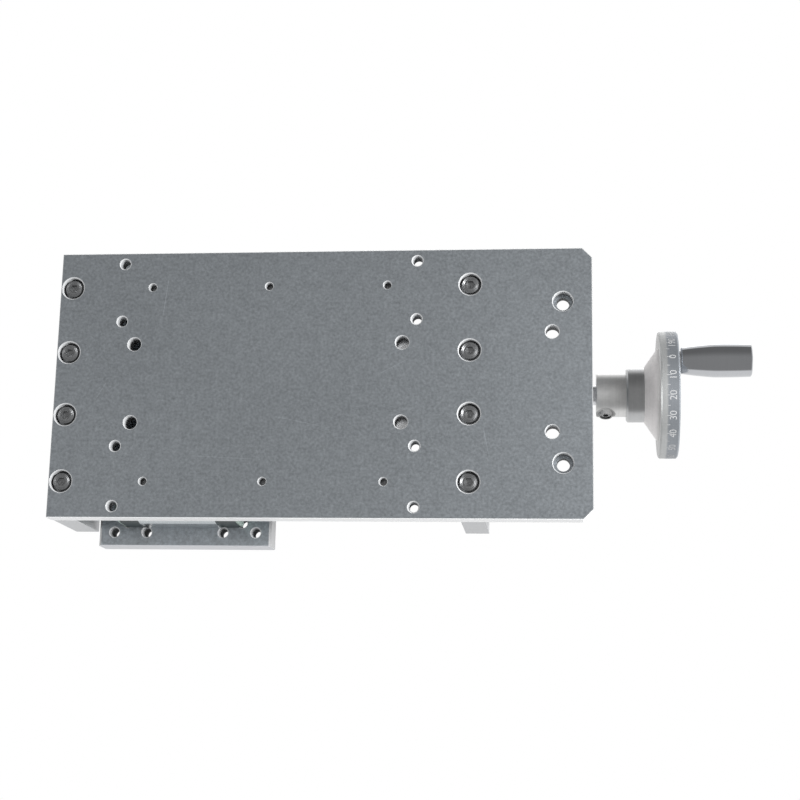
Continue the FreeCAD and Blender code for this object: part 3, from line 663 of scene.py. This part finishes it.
def thread_ridge(points, faces, x, y, z0, z1, r, pitch):
    """Adds the helical ridge of a tapped hole, standing in from its bore."""
    steps = int(((z1 - z0) / pitch - 1) * ridge_steps)
    turns = steps / ridge_steps
    first = len(points)
    foot = r + surface_lift
    for i in range(steps + 1):
        turn = i / ridge_steps
        angle = 2 * math.pi * turn
        runout = min(1.0, ridge_runout_per_turn * turn, ridge_runout_per_turn * (turns - turn))
        crest = r - ridge_depth * pitch * runout
        profile = ((ridge_foot_share, foot), (0.5, crest), (1 - ridge_foot_share, foot))
        points += [(x + radius * math.cos(angle), y + radius * math.sin(angle),
                    z0 + (turn + share) * pitch) for share, radius in profile]
    width = len(profile)
    for i in range(steps):
        for k in range(width - 1):
            a = first + width * i + k
            faces.append((a, a + 1, a + width + 1, a + width))


def make_hole_threads(materials):
    """The threads of the tapped holes, whose bores in the solids are plain. Their darker grey is
    painted shade inside the holes.
    """
    mounts = {mount["name"]: mount for mount in frame["record"]["mounts"]}
    for body, low, high, names in (
            ("base", base_low.z, base_high.z, ("base_fixing_outer", "base_fixing_inner")),
            ("table", table_low.z, table_high.z,
             ("table_holes_far", "table_holes_near", "table_holes_inner"))):
        points = []
        faces = []
        for name in names:
            middle = mounts[name]["pos_m"]
            dims = mounts[name]["dims"]
            for sx in (-0.5, 0.5):
                for sy in (-0.5, 0.5):
                    x = middle[0] + sx * dims["spacing_x_mm"] * mm
                    y = middle[1] + sy * dims["spacing_y_mm"] * mm
                    thread_ridge(points, faces, x, y, low + hole_rim, high - hole_rim,
                                 dims["hole_r_mm"] * mm, hole_pitch)
        if body == "base":
            for x in rail_tap_x:
                for y in rail_tap_y:
                    thread_ridge(points, faces, x, y, low + hole_rim / 2, low + rail_tap_depth,
                                 rail_tap_r, rail_tap_pitch)
        mesh_piece(body + "_hole_threads", points, faces, materials["cut_thread"], body,
                   smooth_angle=40.0)


def on_rim(x, angle):
    """A point just above the rim: angle 0 is its lowest point, and grows towards +Y."""
    r = rim_r + surface_lift
    return Vector((x, r * math.sin(angle), axis_z - r * math.cos(angle)))


def make_number(text, angle, materials):
    """A number bent round the rim, its digits standing across the rim and read upwards."""
    curve = bpy.data.curves.new("dial_" + text, "FONT")
    curve.body = text
    curve.size = dial_number_height * font_size_per_height
    curve.align_x = "CENTER"
    curve.align_y = "CENTER"
    curve.resolution_u = 3
    source = bpy.data.objects.new("dial_" + text, curve)
    flat = bpy.data.meshes.new_from_object(source)
    bpy.data.objects.remove(source)
    points = [on_rim(dial_number_x - v.co.y, angle - v.co.x / rim_r) for v in flat.vertices]
    faces = [tuple(p.vertices) for p in flat.polygons]
    bpy.data.meshes.remove(flat)
    mesh_piece("dial_number_" + text, points, faces, materials["dial_filling"], "feed_screw")


def make_dial(materials):
    """Ticks and plain numbers round the rim, two hundred parts to a turn."""
    angles = [dial_zero_angle + 2 * math.pi * k / dial_marks for k in range(dial_marks)]
    half = dial_tick_width / rim_r / 2
    points = []
    faces = []
    for k, angle in enumerate(angles):
        length = dial_long if k % 2 == 0 else dial_short
        start = len(points)
        points += [on_rim(x, angle + side) for x in (dial_tick_x, dial_tick_x + length)
                   for side in (-half, half)]
        faces.append((start, start + 1, start + 3, start + 2))
    mesh_piece("dial_ticks", points, faces, materials["dial_filling"], "feed_screw")
    for k in range(0, dial_marks, 2):
        make_number(str(k * dial_parts_per_mark), angles[k], materials)


# Light, floor and camera

def make_world():
    """A white studio overhead, dim below, where the photographer stands."""
    world = bpy.data.worlds.new("studio")
    world.use_nodes = True
    bpy.context.scene.world = world
    tree = Tree(world.node_tree)
    direction = tree.add("ShaderNodeTexCoord").outputs["Generated"]
    dim = tree.ramp(tree.split(direction)["Y"], room_far_y, room_near_y,
                    room_far_dim_level, room_dim_level)
    height = tree.add("ShaderNodeVectorMath", {"operation": "DOT_PRODUCT"})
    tree.put(height, "0", direction)
    tree.put(height, "1", room_up)
    level = tree.ramp(height.outputs["Value"], room_dim_below, room_white_above, dim, 1.0)
    background = tree.add("ShaderNodeBackground", Color=grey(1.0), Strength=level)
    out = tree.add("ShaderNodeOutputWorld")
    tree.tree.links.new(background.outputs[0], out.inputs["Surface"])


def make_floor():
    """A pale floor that only shows from above, so that the underside can be looked at."""
    mesh = bpy.data.meshes.new("floor")
    corners = [(x * floor_size, y * floor_size, -floor_drop)
               for x, y in ((-1, -1), (1, -1), (1, 1), (-1, 1))]
    mesh.from_pydata(corners, [], [(0, 1, 2, 3)])
    floor = bpy.data.objects.new("floor", mesh)
    bpy.context.scene.collection.objects.link(floor)
    material, tree = new_material("floor")
    pale = tree.add("ShaderNodeBsdfDiffuse", Color=grey(floor_grey))
    clear = tree.add("ShaderNodeBsdfTransparent")
    either = tree.add("ShaderNodeMixShader")
    tree.put(either, "0", tree.add("ShaderNodeNewGeometry").outputs["Backfacing"])
    tree.put(either, "1", pale.outputs[0])
    tree.put(either, "2", clear.outputs[0])
    tree.show(either)
    floor.data.materials.append(material)
    floor.visible_diffuse = False
    floor.visible_glossy = False
    floor.visible_transmission = False
    floor.visible_shadow = False


def make_lamp(name, place, aim, size, power):
    """A round lamp at place that shines towards aim."""
    light = bpy.data.lights.new(name, "AREA")
    light.shape = "DISK"
    light.size = size
    light.energy = power
    lamp = bpy.data.objects.new(name, light)
    lamp.location = place
    lamp.rotation_euler = (Vector(aim) - Vector(place)).to_track_quat("-Z", "Y").to_euler()
    bpy.context.scene.collection.objects.link(lamp)


def make_camera():
    """The camera of the photograph, aimed and rolled as it was."""
    camera = bpy.data.cameras.new("camera")
    camera.sensor_fit = "HORIZONTAL"
    camera.sensor_width = sensor_width
    camera.lens = camera_focal_px / picture_px * sensor_width
    camera.clip_start = camera_near
    camera.clip_end = camera_far
    forward = (camera_aim - camera_place).normalized()
    level_right = forward.cross(Vector((0, -1, 0))).normalized()
    level_up = level_right.cross(forward)
    right = level_right * math.cos(camera_roll) + level_up * math.sin(camera_roll)
    up = right.cross(forward)
    turn = Matrix((right, up, -forward)).transposed()
    holder = bpy.data.objects.new("camera", camera)
    holder.matrix_world = Matrix.Translation(camera_place) @ turn.to_4x4()
    bpy.context.scene.collection.objects.link(holder)
    bpy.context.scene.camera = holder


def main():
    materials = make_materials()
    dress_nodes(materials)
    make_feed_screw(materials)
    make_block_screws(materials)
    make_hole_threads(materials)
    make_dial(materials)
    make_world()
    make_floor()
    for lamp in lamps:
        make_lamp(**lamp)
    make_camera()
    bpy.context.scene.view_settings.view_transform = "Standard"


main()
